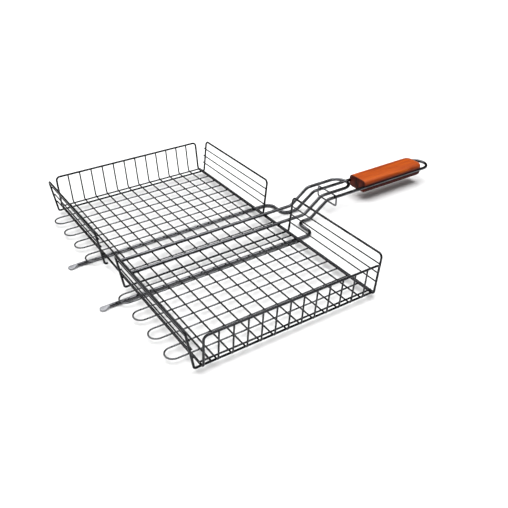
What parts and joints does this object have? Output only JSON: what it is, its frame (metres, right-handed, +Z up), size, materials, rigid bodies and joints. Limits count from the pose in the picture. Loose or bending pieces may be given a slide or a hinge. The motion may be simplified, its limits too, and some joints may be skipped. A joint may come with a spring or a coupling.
{
  "type": "grill basket",
  "caption": "Wire grilling tray with end walls and a pull, nested in a wire base with looped cross wires, slatted side panels, a lock ring and a long rod handle with a wooden grip.",
  "frame": {"origin": "on the resting plane, under the middle of the bounding box", "axes": "+X along the handle away from the tray, +Y along the tray's long side, +Z up"},
  "size_m": [0.6047, 0.4616, 0.0589],
  "materials": {
    "plated_wire": "polished plating",
    "bright_rod": "polished plating",
    "flattened_tip": "satin plating",
    "stained_wood": "varnished"
  },
  "bodies": {
    "basket": {"panel_left_near": "plated_wire", "panel_left_far": "plated_wire", "panel_right_near": "plated_wire", "panel_right_far": "plated_wire", "support_rod_near": "bright_rod", "support_rod_far": "bright_rod", "rest_tip_near": "flattened_tip", "rest_tip_far": "flattened_tip", "handle_rod_near": "bright_rod", "handle_rod_far": "bright_rod", "hanging_loop": "bright_rod", "grip": "stained_wood", "base_rail_left": "plated_wire", "base_rail_right": "plated_wire", "end_tie_near": "plated_wire", "end_tie_far": "plated_wire", "inner_tie": "plated_wire", "middle_wire": "plated_wire", "loop_wires_near": "plated_wire", "loop_wires_far": "plated_wire"},
    "tray": {"floor_wires": "plated_wire", "side_rail_left": "plated_wire", "side_rail_right": "plated_wire", "floor_rail_near": "plated_wire", "floor_rail_far": "plated_wire", "end_wall_near": "plated_wire", "end_wall_far": "plated_wire", "pull_rods": "bright_rod"},
    "ring": {"lock_ring": "bright_rod"}
  },
  "joints": [
    {"name": "tray_lift", "type": "slide", "parent": "basket", "child": "tray", "axis": [0, 0, 1], "range_m": [0, 0.06]},
    {"name": "ring_slide", "type": "slide", "parent": "basket", "child": "ring", "axis": [1, 0, 0], "range_m": [-0.006, 0.057]}
  ]
}
